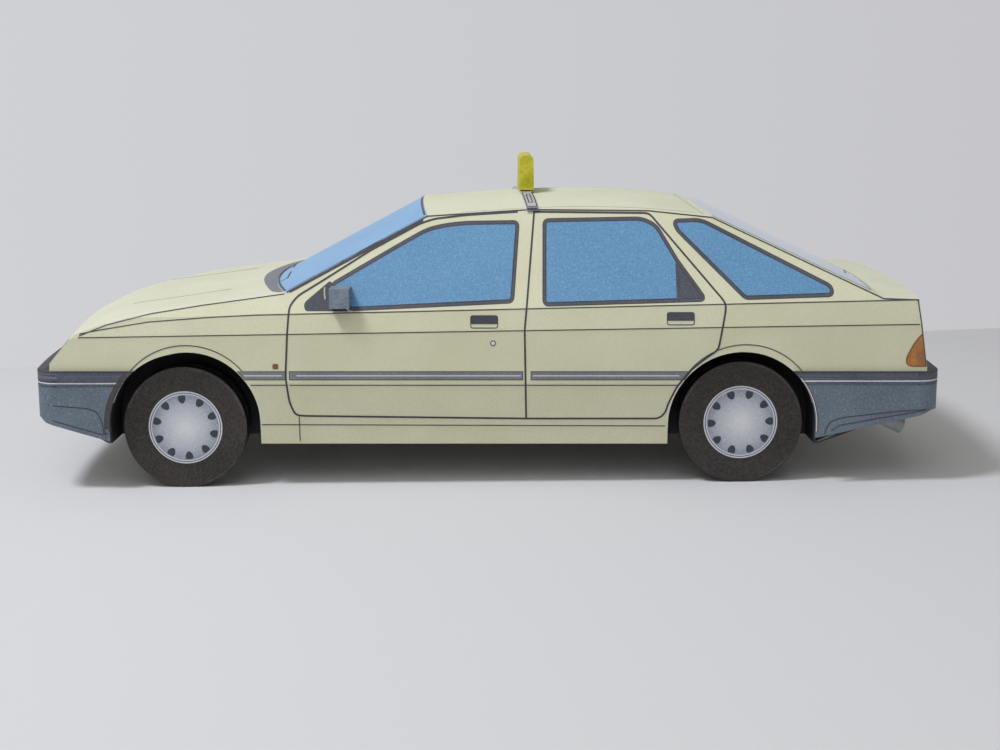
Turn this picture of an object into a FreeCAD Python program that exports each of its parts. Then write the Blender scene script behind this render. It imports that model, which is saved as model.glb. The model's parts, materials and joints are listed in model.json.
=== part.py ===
import FreeCAD, Part
import os
from math import asin, cos, degrees, radians, sin, sqrt, tan

os.makedirs("parts", exist_ok=True)

# Folded-card model of a five-door taxi. Millimetres, +X to the nose, +Y to its left, +Z up.
# The origin is on the ground, under the middle of the model's length and width.

# ---- Overall sizes ---------------------------------------------------------------------
wheelbase = 60.6
front_overhang = 17.2             # front axle to the front bumper's middle
rear_overhang = 21.9              # rear axle to the rear bumper's middle
half_width = 20.0                 # outer face of the door sheets
card = 0.25                       # thickness of every card sheet

overall_length = front_overhang + wheelbase + rear_overhang
front_axle_x = overall_length / 2 - front_overhang
rear_axle_x = front_axle_x - wheelbase
nose_lift = 0.6                   # the body is glued on this much higher at the front axle
# The body is drawn level, with the rear axle at its true height, and turned nose-up at the end.

# ---- Wheels and axles ------------------------------------------------------------------
wheel_radius = 6.7
wheel_width = 4.0
wheel_recess = 1.1                # the wheel's outer face stands this far inside the doors
axle_radius = 0.75
axle_clearance = 0.05             # all round the axle, in its rolled-paper bearing tube
wall_hole_clearance = 0.3         # all round the axle, where it passes the wheel well's wall
tube_wall = 0.5
arch_gap = 1.25                   # tyre to the cut edge of the wheel arch, all round
front_arch_z = 6.5                # middle of the front arch, on the level body
front_arch_back = 0.6             # the front arch's rear part is cut round a middle this far behind,
front_arch_back_rise = 0.45       # this much higher
front_arch_back_trim = 0.3        # and with this much less radius
well_gap = 1.0                    # tyre's inner face to the wheel well's wall

wheel_face_y = half_width - wheel_recess
wheel_back_y = wheel_face_y - wheel_width
arch_radius = wheel_radius + arch_gap
front_axle_body_z = wheel_radius - nose_lift
body_pitch = degrees(asin(nose_lift / wheelbase))
liner_setback = 0.15              # the black well liner hides this far behind the arch's edge
liner_radius = arch_radius + liner_setback
well_wall_y = wheel_back_y - well_gap

# ---- Side sheets: the folds, from the sill up ------------------------------------------
sill_z = 4.3
sill_tuck = 1.1                   # the sill stands this far inside the doors
tuck_fold_z = 11.3
waist_fold_z = 16.4               # at the front axle; both upper folds climb to the rear
waist_rise = 0.0159               # per mm towards the tail
belt_fold_z = 18.4
belt_rise = 0.0235
shoulder_lean = 0.4               # the belt fold stands this far inside the doors
cabin_lean = tan(radians(31.0))   # of the windows, from upright
side_top_z = 33.0                 # the flat sheet before its top is cut to shape

# ---- The top sheets: stations along the car --------------------------------------------
# Each row: distance from the named axle, height at the sheet's side edge, crown at its middle.
# Bonnet rows run from the front axle; the others from the rear axle.
BONNET = [(11.5, 16.4, 1.15), (8.0, 17.65, 1.1), (3.4, 18.8, 0.5), (-2.4, 19.7, 0.4), (-11.1, 20.85, 0.4)]
bonnet_stations = 9               # of its loft
ROOF = [(34.2, 28.8, 1.2), (23.0, 29.5, 1.2), (10.0, 29.4, 1.15), (3.0, 28.7, 0.9)]
BOOT = [(-14.9, 20.45, 0.3), (-18.7, 20.35, 0.3)]
screen_crowns = (1.35, 1.7)       # the windscreen's at its base and top
rear_window_crown = 0.6           # at its base
# How far each cross edge runs out at the middle, forwards or, at the back, rearwards.
bonnet_bow = 1.15
cowl_bow = 2.7
roof_bow = 1.0
rear_window_bow = 0.7
boot_bow = 0.95

# ---- Nose, tail and bumpers ------------------------------------------------------------
# Rows: height, distance from the axle at the sides, bow at the middle.
NOSE = [(9.0, 14.6, 1.2), (13.4, 14.2, 1.3), (18.5, 9.95, 1.6)]
TAIL = [(9.0, -19.9, 0.6), (13.0, -19.8, 0.7), (22.0, -18.45, 1.0)]
side_skirt_z = 9.0                # the side sheets end here behind the bumpers
bumper_wall = 0.45
front_bumper_top_z = 12.55
rear_bumper_top_z = 12.55
# Rows: height of the lower edge, distance from the axle.
FRONT_BUMPER_FOOT = [(4.75, 7.6), (6.9, 14.9), (7.4, 15.6), (7.4, 22.0)]
REAR_BUMPER_FOOT = [(5.2, -7.6), (7.75, -19.2), (8.3, -20.5), (8.3, -26.0)]
front_bumper_side = 15.6          # from the axle to the foremost point of the bumper's side
rear_bumper_side = 21.0
bumper_turn = 0.4                 # its corner ends this much further out than its side
bumper_corner = 2.2               # corner's reach along the car and across it

# ---- Floor, exhaust, mirrors and roof sign ---------------------------------------------
floor_z = sill_z
floor_nose_z = 7.7                # the floor sheet folds up to these heights at its ends
floor_tail_z = 8.6
exhaust_radius = 0.85
exhaust_bore = 0.6
exhaust_length = 6.5              # before its top is cut to the floor sheet
exhaust_y = 14.0
exhaust_droop_deg = 25.0          # its open end points down and rearwards
exhaust_end_from_axle = -18.85
exhaust_end_z = 5.2
mirror_size = (2.1, 1.7, 2.1)     # along the car, out from the window frame, up
mirror_base_z = 19.45
mirror_from_front_axle = 17.2
sign_size = (1.7, 9.3, 3.9)      # along its foot, across, up
sign_top_along = 1.55             # it narrows to this at the top
sign_from_rear_axle = 23.25
sign_skew_deg = 0.8               # glued on a little askew
sign_corner = 0.5
bar_ahead_of_sign = 0.25          # middle to middle
bar_skew_deg = 3.3
bar_width = 1.25
bar_foot_gap = 0.1                # from the window frame to the lower end of the bar's foot
bar_foot_drop = 0.15              # below the roof's edge
glue_line = 0.03                  # under the bar, and where one sheet is glued inside another

WIDE = 60.0                       # larger than the model's half-length, for cutting blocks


def vec(x, y, z):
    return FreeCAD.Vector(x, y, z)


def wire_xz(points, y):
    """Closed polygon from (x, z) pairs, in the upright plane at y."""
    corners = [vec(x, y, z) for x, z in points]
    return Part.makePolygon(corners + corners[:1])


def prism_across(points, y_low, y_high):
    """Solid with the given (x, z) outline, from y_low to y_high."""
    face = Part.Face(wire_xz(points, y_low))
    return face.extrude(vec(0, y_high - y_low, 0))


def block(x0, x1, y0, y1, z0, z1):
    return Part.makeBox(x1 - x0, y1 - y0, z1 - z0, vec(x0, y0, z0))


def rod_across(x, z, radius, y_low, y_high):
    return Part.makeCylinder(radius, y_high - y_low, vec(x, y_low, z), vec(0, 1, 0))


def save_on_body(name, shape):
    """Save a piece of the body, after turning it nose-up about the rear axle."""
    turned = shape.copy()
    turned.rotate(vec(rear_axle_x, 0, wheel_radius), vec(0, 1, 0), -body_pitch)
    save(name, turned)


def save(name, shape):
    solids = shape.Solids
    out = solids[0] if len(solids) == 1 else Part.makeCompound(solids)
    if not solids or not out.isValid():
        raise ValueError(name + " is not a valid closed solid")
    out.exportStep("parts/" + name + ".step")
    print(name, len(solids), "solid(s)", round(sum(s.Volume for s in solids), 2), "mm3")


# ---- The side sheets' folded section ---------------------------------------------------
def waist_z(x):
    return waist_fold_z + waist_rise * (front_axle_x - x)


def belt_z(x):
    return belt_fold_z + belt_rise * (front_axle_x - x)


def side_section(x, inset):
    """(y, z) points of the left side's folded line at x, moved in by inset."""
    belt_y = half_width - shoulder_lean
    top_y = belt_y - cabin_lean * (side_top_z - belt_z(x))
    line = [(half_width - sill_tuck, sill_z), (half_width, tuck_fold_z), (half_width, waist_z(x)),
            (belt_y, belt_z(x)), (top_y, side_top_z)]
    return [(y - inset, z) for y, z in line]


def side_y(x, z):
    """Outer face of the left side above the belt fold."""
    return half_width - shoulder_lean - cabin_lean * (z - belt_z(x))


def loft_along(section_at):
    """Straight loft of a closed (y, z) outline from the tail to the nose."""
    wires = []
    for x in (-WIDE, WIDE):
        corners = [vec(x, y, z) for y, z in section_at(x)]
        wires.append(Part.makePolygon(corners + corners[:1]))
    return Part.makeLoft(wires, True, True)


def side_sheet():
    return loft_along(lambda x: side_section(x, 0) + side_section(x, card)[::-1])


def between_sides(inset):
    """Everything between the two side sheets, from their outer faces moved in by inset."""
    def section(x):
        left = side_section(x, inset)
        right = [(-y, z) for y, z in left[::-1]]
        return left + right
    return loft_along(section)


room = between_sides(card)
hull = between_sides(0)


# ---- Top sheets ------------------------------------------------------------------------
def place(rows, axle_x):
    return [(axle_x + dx, z, crown) for dx, z, crown in rows]


def arc_across(x, edge_z, crown, drop):
    """The cross line of a crowned sheet, through its edge height at the side sheets."""
    half = side_y(x, edge_z) if edge_z > belt_z(x) else half_width
    radius = (half ** 2 + crown ** 2) / (2 * crown)
    reach = half + 1.0
    end_z = edge_z + crown - (radius - sqrt(radius ** 2 - reach ** 2)) - drop
    return Part.Arc(vec(x, -reach, end_z), vec(x, 0, edge_z + crown - drop), vec(x, reach, end_z)).toShape()


def crowned(stations, above, below):
    """Crowned solid through the stations, from above over their line to below under it."""
    wires = []
    for x, z, crown in stations:
        top = arc_across(x, z, crown, -above)
        bottom = arc_across(x, z, crown, below)
        sides = [Part.makeLine(top.Vertexes[i].Point, bottom.Vertexes[i].Point) for i in (0, 1)]
        wires.append(Part.Wire(Part.__sortEdges__([top, sides[0], bottom, sides[1]])))
    return Part.makeLoft(wires, True, len(stations) == 2)


def slant_thickness(stations):
    """Height of a card sheet along Z, where the sheet slopes between two stations."""
    run = stations[-1][0] - stations[0][0]
    rise = stations[-1][1] - stations[0][1]
    return card * sqrt(1 + (rise / run) ** 2)


def bowed_slab(x_side, half, bow, toward):
    """All that lies ahead (toward = 1) or behind (-1) of a cross line bowed by bow between y = +-half."""
    front = Part.Arc(vec(x_side, -half, 0), vec(x_side + bow, 0, 0), vec(x_side, half, 0)).toShape()
    far = toward * 2 * WIDE
    corners = [vec(x_side, half, 0), vec(x_side, 2 * half_width, 0), vec(far, 2 * half_width, 0),
               vec(far, -2 * half_width, 0), vec(x_side, -2 * half_width, 0), vec(x_side, -half, 0)]
    edges = [front] + Part.makePolygon(corners).Edges
    return Part.Face(Part.Wire(Part.__sortEdges__(edges))).extrude(vec(0, 0, 2 * WIDE))


def stretched(rows, front_by, back_by):
    """The same straight sheet with its two stations moved out along its slope."""
    (xa, za, ca), (xb, zb, cb) = rows
    slope = (za - zb) / (xa - xb)
    return [(xa + front_by, za + slope * front_by, ca), (xb - back_by, zb - slope * back_by, cb)]


def with_station_ahead(rows, by):
    """Rows with one more station ahead, along the slope of the first two."""
    (xa, za, ca), (xb, zb, cb) = rows[:2]
    return [(xa + by, za + by * (za - zb) / (xa - xb), ca)] + rows


def edge_half(station):
    """Half width of the top sheets at a station, from middle to side sheet."""
    x, z, crown = station
    return side_y(x, z) if z > belt_z(x) else half_width


def evened(rows, count):
    """The same line through stations spaced evenly along it, so that a loft doesn't swell between them."""
    curve = Part.BSplineCurve()
    curve.interpolate([vec(x, crown, z) for x, z, crown in rows])
    return [(p.x, p.z, p.y) for p in curve.discretize(Number=count)]


bonnet_rows = evened(place(BONNET, front_axle_x), bonnet_stations)
roof_rows = place(ROOF, rear_axle_x)
boot_rows = place(BOOT, rear_axle_x)
screen_rows = [(*bonnet_rows[-1][:2], screen_crowns[0]), (*roof_rows[0][:2], screen_crowns[1])]
rear_window_rows = [roof_rows[-1], (*boot_rows[0][:2], rear_window_crown)]

ahead_of_bonnet = bowed_slab(bonnet_rows[0][0], half_width, bonnet_bow, 1)
ahead_of_cowl = bowed_slab(bonnet_rows[-1][0], edge_half(bonnet_rows[-1]), cowl_bow, 1)
ahead_of_roof = bowed_slab(roof_rows[0][0], edge_half(roof_rows[0]), roof_bow, 1)
behind_window = bowed_slab(boot_rows[0][0], edge_half(boot_rows[0]), -rear_window_bow, -1)
behind_boot = bowed_slab(boot_rows[-1][0], half_width, -boot_bow, -1)

past_bow = 3.0                    # the sheets are drawn this much longer, then cut to their bowed edges


def moved(shape, dx):
    copy = shape.copy()
    copy.translate(vec(dx, 0, 0))
    return copy


bonnet_long = with_station_ahead(bonnet_rows, past_bow)
bonnet = crowned(bonnet_long, 0, card).common(room).common(ahead_of_cowl).cut(ahead_of_bonnet)

screen = crowned(stretched(screen_rows, past_bow, past_bow), 0, slant_thickness(screen_rows))
screen = screen.common(room).common(moved(ahead_of_roof, glue_line)).cut(moved(ahead_of_cowl, -glue_line))

roof = crowned(with_station_ahead(roof_rows, past_bow), 0, card).common(room).cut(ahead_of_roof)

rear_window = crowned(stretched(rear_window_rows, 0, past_bow), 0, slant_thickness(rear_window_rows))
rear_window = rear_window.common(room).cut(moved(behind_window, glue_line))

boot_long = stretched(boot_rows, 0, past_bow)
boot_lid = crowned(boot_long, 0, card).common(room).common(behind_window).cut(behind_boot)

save_on_body("bonnet", bonnet)
save_on_body("windscreen", screen)
save_on_body("roof", roof)
save_on_body("rear_window", rear_window)
save_on_body("boot_lid", boot_lid)


# ---- Side sheets -----------------------------------------------------------------------
# An arch is cut by one or more rounds, each open below: its middle's x and z, and the radius that it has less.
FRONT_ARCH = [(front_axle_x, front_arch_z, 0),
              (front_axle_x - front_arch_back, front_arch_z + front_arch_back_rise, front_arch_back_trim)]
REAR_ARCH = [(rear_axle_x, wheel_radius, 0)]
# Each row: name, axle's x, the arch's rounds, and the axle's height on the level body.
AXLES = [("front", front_axle_x, FRONT_ARCH, front_axle_body_z),
         ("rear", rear_axle_x, REAR_ARCH, wheel_radius)]


def arch_opening(arch, radius):
    rounds = []
    for x, z, less in arch:
        reach = radius - less
        rounds.append(rod_across(x, z, reach, -2 * half_width, 2 * half_width))
        rounds.append(block(x - reach, x + reach, -2 * half_width, 2 * half_width, -WIDE, z))
    return rounds[0].fuse(rounds[1:]).removeSplitter()


def arch_ends(arch, radius):
    """The rearmost and foremost x of an arch's opening."""
    return (min(x - radius + less for x, z, less in arch), max(x + radius - less for x, z, less in arch))


def end_line(rows, axle_x):
    return [(axle_x + dx, z) for z, dx, bow in rows]


def curve_through(points, y):
    curve = Part.BSplineCurve()
    curve.interpolate([vec(x, y, z) for x, z in points])
    return curve.toShape()


def side_outline():
    """Face with the side sheet's cut outline, to be extruded across the car."""
    y = 0
    nose = end_line(NOSE[:2], front_axle_x)
    tail = end_line(TAIL[:2], rear_axle_x)
    bonnet_edge = [(x, z) for x, z, crown in bonnet_rows]
    roof_edge = [(x, z) for x, z, crown in roof_rows]
    boot_edge = [(x, z) for x, z, crown in boot_rows]
    skirt_front = (front_axle_x, side_skirt_z)
    skirt_rear = (rear_axle_x, side_skirt_z)
    bottom = [skirt_rear, (rear_axle_x, sill_z), (front_axle_x, sill_z), skirt_front]
    straight = bottom + nose + bonnet_edge[:1]
    edges = Part.makePolygon([vec(x, y, z) for x, z in straight]).Edges
    edges.append(curve_through(bonnet_edge, y))
    (x0, z0), (x1, z1) = bonnet_edge[-1], roof_edge[0]
    edges.append(Part.makeLine(vec(x0, y, z0), vec(x1, y, z1)))
    edges.append(curve_through(roof_edge, y))
    back = [roof_edge[-1]] + boot_edge + tail[::-1] + [skirt_rear]
    edges += Part.makePolygon([vec(x, y, z) for x, z in back]).Edges
    return Part.Face(Part.Wire(Part.__sortEdges__(edges)))


outline = side_outline()
left_side = side_sheet().common(outline.extrude(vec(0, 2 * half_width, 0)))
for name, axle_x, arch, axle_z in AXLES:
    left_side = left_side.cut(arch_opening(arch, arch_radius))
right_side = left_side.mirror(vec(0, 0, 0), vec(0, 1, 0))
save_on_body("left_side", left_side)
save_on_body("right_side", right_side)


# ---- Nose and tail panels --------------------------------------------------------------
def bowed_panel(rows, axle_x, toward, thickness):
    """Upright sheet, bowed across the car, through rows of (height, distance, bow)."""
    wires = []
    for z, dx, bow in rows:
        x = axle_x + dx
        outer = Part.Arc(vec(x, -half_width, z), vec(x + toward * bow, 0, z), vec(x, half_width, z)).toShape()
        shift = vec(-toward * thickness, 0, 0)
        inner = outer.copy()
        inner.translate(shift)
        ends = [Part.makeLine(p.Point, p.Point + shift) for p in outer.Vertexes]
        wires.append(Part.Wire(Part.__sortEdges__([outer, ends[0], inner, ends[1]])))
    return Part.makeLoft(wires, True, True)


nose_core = bowed_panel(NOSE, front_axle_x + glue_line, 1, WIDE).common(between_sides(-glue_line))
tail_core = bowed_panel(TAIL, rear_axle_x - glue_line, -1, WIDE).common(between_sides(-glue_line))
nose = bowed_panel(NOSE, front_axle_x, 1, card).common(room)
nose = nose.cut(crowned(bonnet_long, half_width, card + glue_line))
tail = bowed_panel(TAIL, rear_axle_x, -1, card).common(room)
tail = tail.cut(crowned(boot_long, half_width, card + glue_line))
save_on_body("nose_panel", nose)
save_on_body("tail_panel", tail)


# ---- Bumpers ---------------------------------------------------------------------------
def bumper_plan(axle_x, toward, side_reach, end_reach, inset):
    """Plan face of a wrap-round bumper, its faces moved in by inset."""
    outer_y = half_width + bumper_wall - inset
    start_x = axle_x
    corner_x = axle_x + toward * (side_reach - bumper_corner)
    turn_x = axle_x + toward * (side_reach - inset + bumper_turn)
    turn_y = outer_y - bumper_corner
    end_x = axle_x + toward * (end_reach - inset)
    bend_x = corner_x + (turn_x - corner_x) * sin(radians(45))
    bend_y = turn_y + (outer_y - turn_y) * sin(radians(45))
    edges = []
    for side in (1, -1):
        edges.append(Part.makeLine(vec(start_x, side * outer_y, 0), vec(corner_x, side * outer_y, 0)))
        edges.append(Part.Arc(vec(corner_x, side * outer_y, 0), vec(bend_x, side * bend_y, 0),
                              vec(turn_x, side * turn_y, 0)).toShape())
    edges.append(Part.Arc(vec(turn_x, turn_y, 0), vec(end_x, 0, 0), vec(turn_x, -turn_y, 0)).toShape())
    edges.append(Part.makeLine(vec(start_x, outer_y, 0), vec(start_x, -outer_y, 0)))
    return Part.Face(Part.Wire(Part.__sortEdges__(edges)))


def bumper(axle_x, arch, toward, side_reach, end_reach, top_z, foot_rows, core):
    height = vec(0, 0, top_z)
    skin = bumper_plan(axle_x, toward, side_reach, end_reach, 0).extrude(height)
    inner = bumper_plan(axle_x, toward, side_reach, end_reach, bumper_wall)
    wall = skin.cut(inner.extrude(height))
    shelf = inner.extrude(height).cut(block(-WIDE, WIDE, -WIDE, WIDE, -1, top_z - card))
    foot = [(axle_x + dx, z) for z, dx in foot_rows]
    below = foot + [(foot[-1][0], -1), (axle_x, -1), (axle_x, foot[0][1])]
    piece = wall.fuse(shelf).cut(core).cut(prism_across(below, -WIDE, WIDE))
    return piece.cut(arch_opening(arch, arch_radius)).removeSplitter()


front_bumper = bumper(front_axle_x, FRONT_ARCH, 1, front_bumper_side, front_overhang,
                      front_bumper_top_z, FRONT_BUMPER_FOOT, nose_core)
rear_bumper = bumper(rear_axle_x, REAR_ARCH, -1, rear_bumper_side, rear_overhang,
                     rear_bumper_top_z, REAR_BUMPER_FOOT, tail_core)
save_on_body("front_bumper", front_bumper)
save_on_body("rear_bumper", rear_bumper)


# ---- Floor sheet, wheel wells, axle tubes ----------------------------------------------
liner_outer = liner_radius + card
fold_front_x = front_axle_x + liner_outer + card
fold_rear_x = rear_axle_x - liner_outer - card
floor_front_x = front_axle_x + NOSE[0][1] - card
floor_rear_x = rear_axle_x + TAIL[0][1] + card
floor_line = [(floor_rear_x, floor_tail_z), (fold_rear_x, floor_z), (fold_front_x, floor_z),
              (floor_front_x, floor_nose_z)]
floor_top = [(x, z + card) for x, z in floor_line[::-1]]
floor_pan = prism_across(floor_line + floor_top, -half_width, half_width).common(room)
for name, axle_x, arch, axle_z in AXLES:
    for low, high in ((well_wall_y - card, WIDE), (-WIDE, card - well_wall_y)):
        opening = block(*arch_ends(arch, liner_outer), low, high, 0, tuck_fold_z)
        floor_pan = floor_pan.cut(opening)
save_on_body("floor_pan", floor_pan)


def wheel_well(axle_x, arch, axle_z):
    """Black liner over the left wheel with its inner wall, open below and to the outside."""
    outside = arch_opening(arch, liner_outer)
    outside = outside.common(block(-WIDE, WIDE, well_wall_y - card, WIDE, floor_z, WIDE))
    inside = arch_opening(arch, liner_radius).common(block(-WIDE, WIDE, well_wall_y, WIDE, 0, WIDE))
    hole = rod_across(axle_x, axle_z, axle_radius + wall_hole_clearance, 0, half_width)
    return outside.cut(inside).common(room).cut(hole)


tube_bore = axle_radius + axle_clearance
tube_half = well_wall_y - card                    # the tube is glued between the wells' walls
for name, axle_x, arch, axle_z in AXLES:
    well = wheel_well(axle_x, arch, axle_z)
    save_on_body(name + "_left_well", well)
    save_on_body(name + "_right_well", well.mirror(vec(0, 0, 0), vec(0, 1, 0)))
    tube = rod_across(axle_x, axle_z, tube_bore + tube_wall, -tube_half, tube_half)
    tube = tube.cut(rod_across(axle_x, axle_z, tube_bore, -half_width, half_width))
    save_on_body(name + "_axle_tube", tube)


# ---- Axles and wheels ------------------------------------------------------------------
disc_face_y = wheel_face_y - card
for name, x, arch, axle_z in AXLES:
    axle = rod_across(x, wheel_radius, axle_radius, -disc_face_y, disc_face_y)
    save(name + "_axle", axle)
    for side, sign in (("left", 1), ("right", -1)):
        ys = sorted((sign * wheel_back_y, sign * disc_face_y))
        tyre = rod_across(x, wheel_radius, wheel_radius, *ys).cut(axle)
        save(name + "_" + side + "_tyre", tyre)
        ys = sorted((sign * disc_face_y, sign * wheel_face_y))
        save(name + "_" + side + "_wheel_face", rod_across(x, wheel_radius, wheel_radius, *ys))


# ---- Exhaust ---------------------------------------------------------------------------
exhaust_end = vec(rear_axle_x + exhaust_end_from_axle, exhaust_y, exhaust_end_z)
exhaust_line = vec(cos(radians(exhaust_droop_deg)), 0, sin(radians(exhaust_droop_deg)))
exhaust = Part.makeCylinder(exhaust_radius, exhaust_length, exhaust_end, exhaust_line)
bore = Part.makeCylinder(exhaust_bore, exhaust_length, exhaust_end, exhaust_line)
above_floor = prism_across(floor_line + [(x, z + WIDE) for x, z in floor_line[::-1]], -half_width, half_width)
save_on_body("exhaust_pipe", exhaust.cut(bore).cut(above_floor))


# ---- Mirrors ---------------------------------------------------------------------------
mirror_x = front_axle_x - mirror_from_front_axle
along, out, up = mirror_size
frame_y = side_y(mirror_x, mirror_base_z)
mirror = block(mirror_x - along / 2, mirror_x + along / 2, frame_y - out, frame_y + out,
               mirror_base_z, mirror_base_z + up).cut(hull)
save_on_body("left_mirror", mirror)
save_on_body("right_mirror", mirror.mirror(vec(0, 0, 0), vec(0, 1, 0)))


# ---- Roof bar and sign -----------------------------------------------------------------
sign_x = rear_axle_x + sign_from_rear_axle
bar_x = sign_x + bar_ahead_of_sign
roof_side_z, roof_crown = roof_rows[1][1:]
foot_y = side_y(bar_x, roof_side_z - bar_foot_drop) + bar_foot_gap
strip = block(bar_x - bar_width / 2, bar_x + bar_width / 2, -foot_y - card, foot_y + card, 0, WIDE)
strip.rotate(vec(bar_x, 0, 0), vec(0, 0, 1), bar_skew_deg)
bar = crowned(roof_rows, glue_line + card, -glue_line).common(strip)
for sign in (1, -1):
    low, high = sorted((sign * foot_y, sign * (foot_y + card)))
    foot = block(-WIDE, WIDE, low, high, roof_side_z - bar_foot_drop, roof_side_z + card / 2)
    bar = bar.fuse(foot.common(strip))
save_on_body("roof_bar", bar.removeSplitter())

along, across, up = sign_size
bar_top_z = roof_side_z + roof_crown + glue_line + card
sign_foot = [(sign_x - along / 2, bar_top_z), (sign_x + along / 2, bar_top_z)]
sign_top = [(sign_x + sign_top_along / 2, bar_top_z + up), (sign_x - sign_top_along / 2, bar_top_z + up)]
roof_sign = prism_across(sign_foot + sign_top, -across / 2, across / 2)
long_edges = [e for e in roof_sign.Edges if e.BoundBox.YLength > across / 2]
roof_sign = roof_sign.makeFillet(sign_corner, [e for e in long_edges if e.BoundBox.ZMin > bar_top_z + up / 2])
roof_sign.rotate(vec(sign_x, 0, 0), vec(0, 0, 1), sign_skew_deg)
save_on_body("roof_sign", roof_sign)
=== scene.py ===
"""Looks of the folded card taxi: printed card, painted paper and laminated wheels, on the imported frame."""
import json
from math import asin, cos, pi, radians, sin

import bpy
from mathutils import Matrix, Vector

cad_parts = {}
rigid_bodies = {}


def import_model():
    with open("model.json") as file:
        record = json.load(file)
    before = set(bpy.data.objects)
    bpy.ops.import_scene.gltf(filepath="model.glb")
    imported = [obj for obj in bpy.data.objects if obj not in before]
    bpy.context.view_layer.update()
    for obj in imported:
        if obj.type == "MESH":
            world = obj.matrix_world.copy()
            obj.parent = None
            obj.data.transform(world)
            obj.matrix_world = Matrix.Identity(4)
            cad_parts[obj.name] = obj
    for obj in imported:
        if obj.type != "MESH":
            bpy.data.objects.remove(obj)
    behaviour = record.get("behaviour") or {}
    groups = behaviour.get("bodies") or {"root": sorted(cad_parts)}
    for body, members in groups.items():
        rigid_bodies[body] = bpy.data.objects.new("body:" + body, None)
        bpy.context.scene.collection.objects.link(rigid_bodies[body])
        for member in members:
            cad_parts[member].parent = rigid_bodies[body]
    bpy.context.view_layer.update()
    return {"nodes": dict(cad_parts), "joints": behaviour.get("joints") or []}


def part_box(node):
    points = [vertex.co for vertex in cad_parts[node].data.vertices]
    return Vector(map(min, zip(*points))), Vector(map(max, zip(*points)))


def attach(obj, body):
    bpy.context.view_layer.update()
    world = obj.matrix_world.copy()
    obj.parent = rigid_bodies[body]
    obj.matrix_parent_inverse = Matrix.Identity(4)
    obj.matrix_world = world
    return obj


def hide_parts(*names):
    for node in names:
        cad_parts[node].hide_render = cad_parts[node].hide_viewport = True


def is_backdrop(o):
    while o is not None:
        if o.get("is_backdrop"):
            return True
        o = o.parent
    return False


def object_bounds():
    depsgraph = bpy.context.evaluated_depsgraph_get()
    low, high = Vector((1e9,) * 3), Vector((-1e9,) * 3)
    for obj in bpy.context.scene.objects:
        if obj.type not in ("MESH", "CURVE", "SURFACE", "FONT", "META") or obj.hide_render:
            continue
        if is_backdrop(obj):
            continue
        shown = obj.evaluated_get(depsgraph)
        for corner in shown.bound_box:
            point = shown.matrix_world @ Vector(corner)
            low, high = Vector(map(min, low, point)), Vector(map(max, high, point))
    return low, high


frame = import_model()

MM = 0.001
hubs = {joint["name"]: Vector(joint["pos_m"]) for joint in frame["joints"]}
front_hub, rear_hub = hubs["front_wheels_roll"], hubs["rear_wheels_roll"]
wheelbase = (front_hub.x - rear_hub.x) / MM
wheel_radius = rear_hub.z / MM
nose_lift = 0.6  # mm; the body stands this much higher at its front axle
body_pitch = asin(nose_lift / wheelbase)

# A drawing is in mm, x from the rear axle towards the nose. It is stood up, tipped with the body and laid
# on its sheet. LEVEL is upwards for the tipped body.
TIPPED = (Matrix.Translation(rear_hub) @ Matrix.Rotation(-body_pitch, 4, "Y")
          @ Matrix.Translation((0, 0, -rear_hub.z)) @ Matrix.Scale(MM, 4))
LEVEL = Matrix.Rotation(-body_pitch, 4, "Y") @ Vector((0, 0, 1))
AXES = {"side": Matrix(((1, 0, 0), (0, 0, -1), (0, 1, 0))).to_4x4(),
        "plan": Matrix.Identity(4),
        "nose": Matrix(((0, 0, 1), (1, 0, 0), (0, 1, 0))).to_4x4(),
        "tail": Matrix(((0, 0, -1), (-1, 0, 0), (0, 1, 0))).to_4x4()}
# Where a drawing stands before it is pressed on its sheet: clear of the body on that side, in mm.
START = {"side": Vector((0, 30, 0)), "plan": Vector((0, 0, 45)), "nose": Vector((95, 0, 0)),
         "tail": Vector((-40, 0, 0))}
# Which drawing is laid on a sheet, and how finely the print is divided, in mm, where the sheet is curved.
LAID = {"left_side": ("side", 0), "front_bumper": ("side", 0.8), "rear_bumper": ("side", 0.8),
        "nose_panel": ("nose", 1.5), "tail_panel": ("tail", 1.5), "bonnet": ("plan", 1.0),
        "windscreen": ("plan", 1.0), "roof": ("plan", 1.0), "rear_window": ("plan", 1.0),
        "roof_bar": ("plan", 0.8), "roof_sign": ("plan", 0)}

# Folds of the side sheet, as a point and a normal in the side drawing. Waist and belt rise towards the tail.
WAIST_HEIGHT, WAIST_RISE = 16.4, 0.0159
BELT_HEIGHT, BELT_RISE = 18.4, 0.0235
TUCK_FOLD = ((0, 11.3), (0, 1))
WAIST_FOLD = ((wheelbase, WAIST_HEIGHT), (WAIST_RISE, 1))
BELT_FOLD = ((wheelbase, BELT_HEIGHT), (BELT_RISE, 1))
SIDE_FOLDS = (TUCK_FOLD, WAIST_FOLD, BELT_FOLD)
# Middles of the cut arches in the side drawing.
FRONT_ARCH, REAR_ARCH = (wheelbase, 6.5), (0, 6.7)


def waist(a):
    """Height of the waist fold, that far ahead of the rear axle."""
    return WAIST_HEIGHT + WAIST_RISE * (wheelbase - a)


def belt(a):
    """Height of the belt fold, that far ahead of the rear axle."""
    return BELT_HEIGHT + BELT_RISE * (wheelbase - a)


# ---- Materials
def linear(code):
    """An sRGB hex colour as linear red, green, blue and alpha."""
    parts = [int(code[i:i + 2], 16) / 255 for i in (1, 3, 5)]
    return [c / 12.92 if c <= 0.04045 else ((c + 0.055) / 1.055) ** 2.4 for c in parts] + [1.0]


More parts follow.
